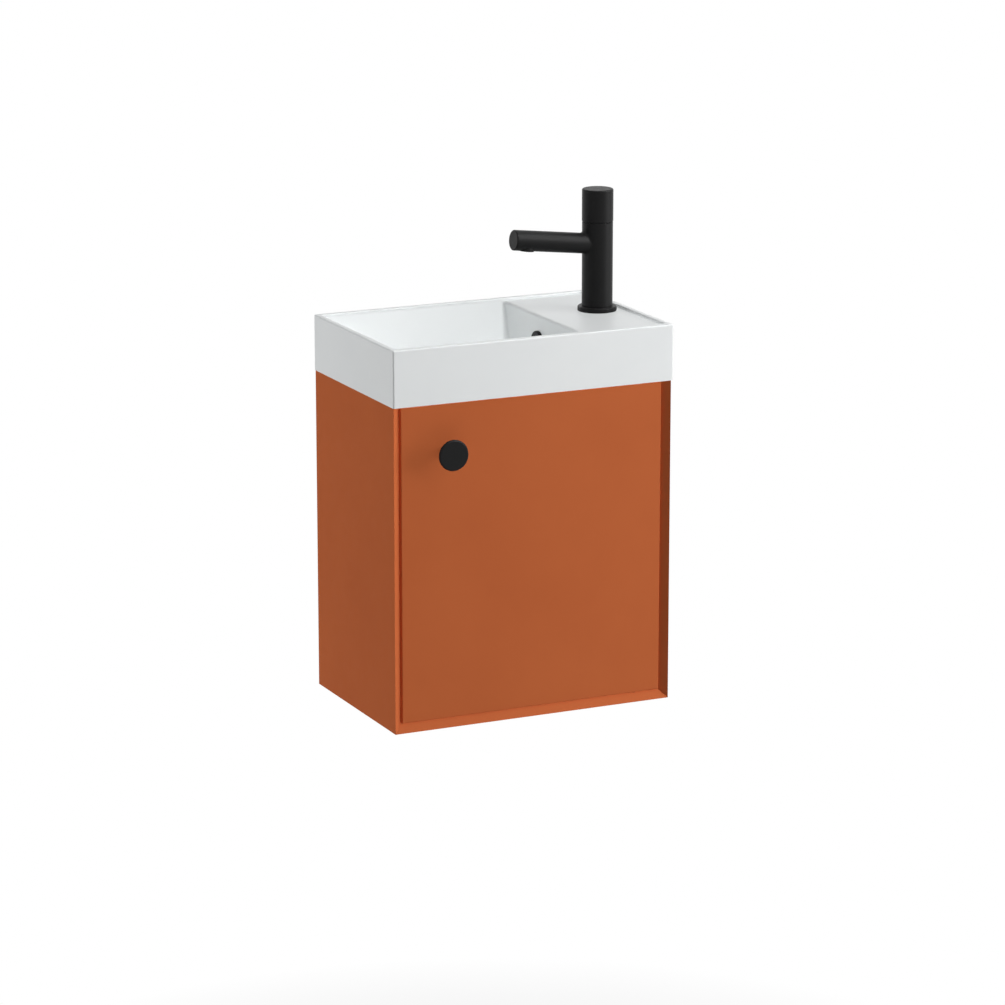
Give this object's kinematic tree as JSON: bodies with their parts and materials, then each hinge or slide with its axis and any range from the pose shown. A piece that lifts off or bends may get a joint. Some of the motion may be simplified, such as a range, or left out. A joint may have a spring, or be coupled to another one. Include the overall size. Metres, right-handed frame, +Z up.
{
  "type": "vanity unit with basin",
  "caption": "Wall-hung vanity cabinet with a bevelled frame, inset door and disc knob, carrying a ceramic hand basin with a side ledge, column tap, push waste and bottle trap.",
  "frame": {"origin": "centre of the wall-fixing hole pattern, on the wall plane behind the cabinet", "axes": "+Y into the wall, +Z up, +X to the right seen from the front"},
  "size_m": [0.4, 0.2824, 0.6687],
  "materials": {
    "lacquer": "matt terracotta lacquer on board",
    "inner_board": "matt terracotta laminate",
    "beech": "raw beech",
    "zinc_steel": "zinc plated",
    "nylon": "plain nylon",
    "brown_nylon": "terracotta nylon",
    "magnet": "ferrite magnet",
    "black_metal": "matt black coating",
    "ceramic": "white glaze",
    "rubber": "black rubber",
    "white_plastic": "moulded polypropylene",
    "grey_plastic": "moulded plastic",
    "brass": "turned brass"
  },
  "bodies": {
    "unit": {"side_panel_left": "lacquer", "side_panel_right": "lacquer", "bottom_panel": "lacquer", "rear_rail_top": "inner_board", "rear_rail_bottom": "inner_board", "shelf": "inner_board", "mitre_spline_left": "inner_board", "mitre_spline_right": "inner_board", "rail_dowels": "beech", "hinge_bracket_top": "zinc_steel", "hinge_bracket_screws": "zinc_steel", "hinge_pin_top": "zinc_steel", "hinge_pin_bottom": "zinc_steel", "catch_screws": "zinc_steel", "shelf_pins": "zinc_steel", "tap_clamp_plate": "zinc_steel", "hinge_washer_bottom": "brown_nylon", "catch_housing": "nylon", "catch_magnet": "magnet", "overflow_ring": "black_metal", "waste_body": "black_metal", "tap_base_flange": "black_metal", "tap_body": "black_metal", "aerator_housing": "black_metal", "basin": "ceramic", "waste_gasket_top": "rubber", "waste_gasket_bottom": "rubber", "trap_inlet_seal": "rubber", "trap_cup_seal": "rubber", "trap_outlet_seal": "rubber", "tap_base_seal": "rubber", "tap_clamp_seal": "rubber", "trap_body": "white_plastic", "trap_inlet_nut": "white_plastic", "trap_cup": "white_plastic", "trap_outlet_pipe": "white_plastic", "trap_outlet_nut": "white_plastic", "wall_rosette": "white_plastic", "waste_nut": "white_plastic", "plug_cartridge": "grey_plastic", "tap_cartridge": "grey_plastic", "aerator_insert": "grey_plastic", "cartridge_nut": "brass", "tap_shank": "brass", "tap_nut": "brass"},
    "door": {"door_panel": "lacquer", "door_knob": "black_metal", "knob_screw": "zinc_steel", "hinge_bush_top": "nylon", "hinge_bush_bottom": "nylon", "strike_plate": "zinc_steel", "strike_screw": "zinc_steel"},
    "plug": {"waste_plug": "black_metal", "plug_seal": "rubber"},
    "handle": {"tap_handle": "black_metal", "handle_grub_screw": "zinc_steel", "cartridge_spindle": "brass"}
  },
  "joints": [
    {"name": "door_hinge", "type": "hinge", "parent": "unit", "child": "door", "pos_m": [0.1524, -0.2444, 0], "axis": [0, 0, 1], "range_deg": [0, 105]},
    {"name": "plug_press", "type": "slide", "parent": "unit", "child": "plug", "axis": [0, 0, 1], "range_m": [0, 0.008]},
    {"name": "handle_turn", "type": "hinge", "parent": "unit", "child": "handle", "pos_m": [0.1604, -0.115, 0], "axis": [0, 0, 1], "range_deg": [0, 100]}
  ]
}
